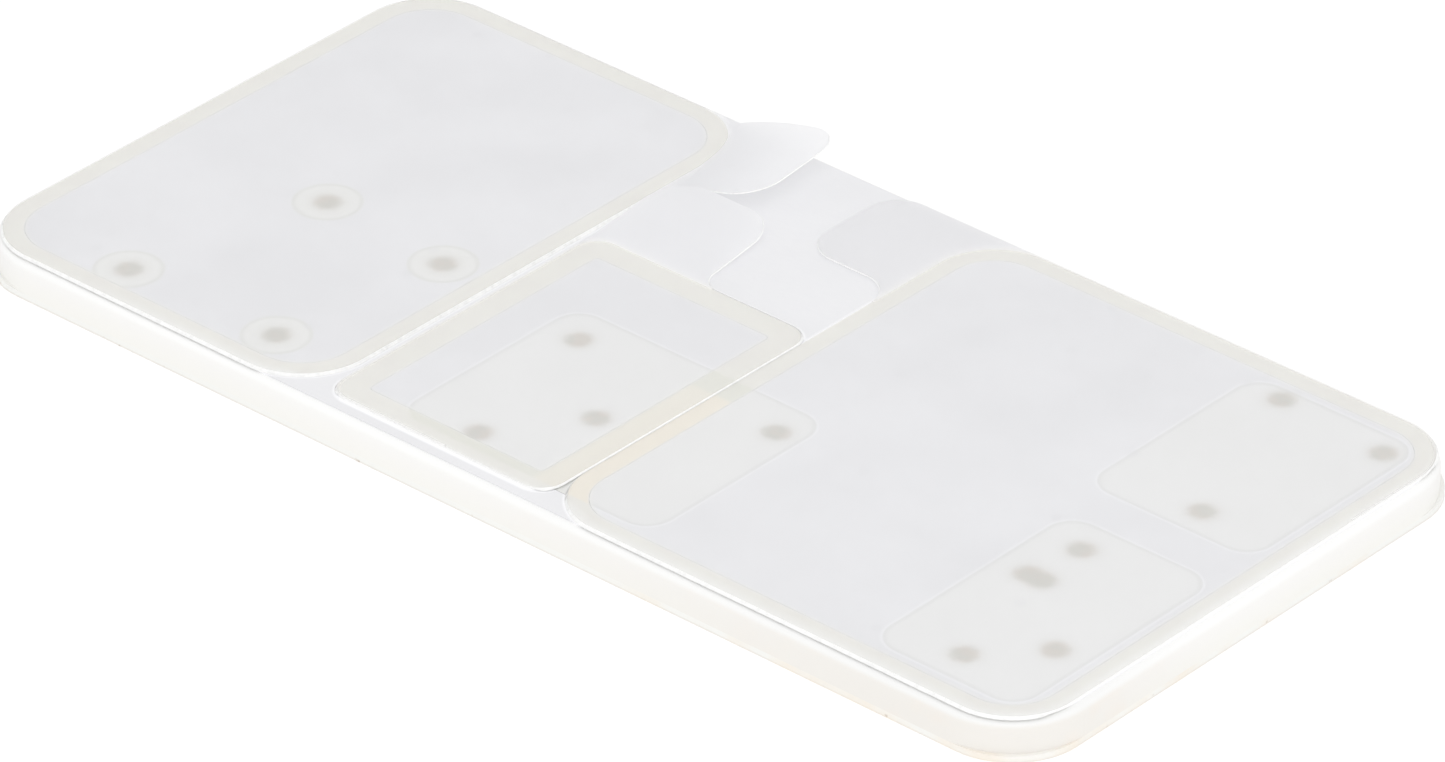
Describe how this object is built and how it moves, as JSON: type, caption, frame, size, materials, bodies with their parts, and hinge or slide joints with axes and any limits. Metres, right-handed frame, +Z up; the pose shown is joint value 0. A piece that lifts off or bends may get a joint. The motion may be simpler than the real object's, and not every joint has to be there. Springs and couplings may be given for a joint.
{
  "type": "pill counting tray",
  "caption": "Slim rounded slab tray with three sealed counting sections, each under a translucent peel-back film lid with a finger tab, over cards and round studs.",
  "frame": {"origin": "centre of the tray's flat underside, where it rests", "axes": "+X along the length towards the larger section, +Y to the back edge where the finger tabs are, +Z up"},
  "size_m": [0.25, 0.1234, 0.0163],
  "materials": {
    "body_plastic": "satin",
    "base_plastic": "satin",
    "liner_film": "satin",
    "mat_frosted": "frosted",
    "seal_ivory": "satin",
    "card_translucent": "frosted",
    "seat_plastic": "frosted",
    "stud_dark": "matte",
    "lid_film": "frosted"
  },
  "bodies": {
    "tray": {"back_card": "card_translucent", "back_stud_1": "stud_dark", "back_stud_2": "stud_dark", "back_stud_3": "stud_dark", "base_plate": "base_plastic", "front_card": "card_translucent", "front_stud_1": "stud_dark", "front_stud_2": "stud_dark", "front_stud_3": "stud_dark", "front_stud_4": "stud_dark", "left_mat": "mat_frosted", "left_seal": "seal_ivory", "left_seat_1": "seat_plastic", "left_seat_2": "seat_plastic", "left_seat_3": "seat_plastic", "left_seat_4": "seat_plastic", "left_stud_1": "stud_dark", "left_stud_2": "stud_dark", "left_stud_3": "stud_dark", "left_stud_4": "stud_dark", "middle_card": "card_translucent", "middle_mat": "mat_frosted", "middle_seal": "seal_ivory", "middle_stud_1": "stud_dark", "middle_stud_2": "stud_dark", "middle_stud_3": "stud_dark", "middle_stud_4": "stud_dark", "right_mat": "mat_frosted", "right_seal": "seal_ivory", "top_liner": "liner_film", "tray_body": "body_plastic"},
    "left_lid": {"left_film": "lid_film"},
    "left_grip": {"left_tab": "lid_film"},
    "middle_lid": {"middle_film": "lid_film"},
    "middle_grip": {"middle_tab": "lid_film"},
    "right_lid": {"right_film": "lid_film"},
    "right_grip": {"right_tab": "lid_film"}
  },
  "joints": [
    {"name": "left_lid_peel", "type": "hinge", "parent": "tray", "child": "left_lid", "pos_m": [-0.1234, 0, 0.00805], "axis": [0, -1, 0], "range_deg": [0, 120]},
    {"name": "middle_lid_peel", "type": "hinge", "parent": "tray", "child": "middle_lid", "pos_m": [-0.0122, -0.0575, 0.00805], "axis": [1, 0, 0], "range_deg": [0, 120]},
    {"name": "right_lid_peel", "type": "hinge", "parent": "tray", "child": "right_lid", "pos_m": [0.1234, 0, 0.00805], "axis": [0, 1, 0], "range_deg": [0, 120]},
    {"name": "left_tab_bend", "type": "hinge", "parent": "left_lid", "child": "left_grip", "pos_m": [-0.04102, 0.04668, 0.00825], "axis": [0.284, -0.9588, 0], "range_deg": [-17, 70], "stiffness_Nm_per_rad": 0.002},
    {"name": "middle_tab_bend", "type": "hinge", "parent": "middle_lid", "child": "middle_grip", "pos_m": [-0.0255, 0.013, 0.00825], "axis": [1, 0, 0], "range_deg": [-8.5, 70], "stiffness_Nm_per_rad": 0.002},
    {"name": "right_tab_bend", "type": "hinge", "parent": "right_lid", "child": "right_grip", "pos_m": [0.01512, 0.04668, 0.00825], "axis": [0.284, 0.9588, 0], "range_deg": [0, 70], "stiffness_Nm_per_rad": 0.002}
  ]
}
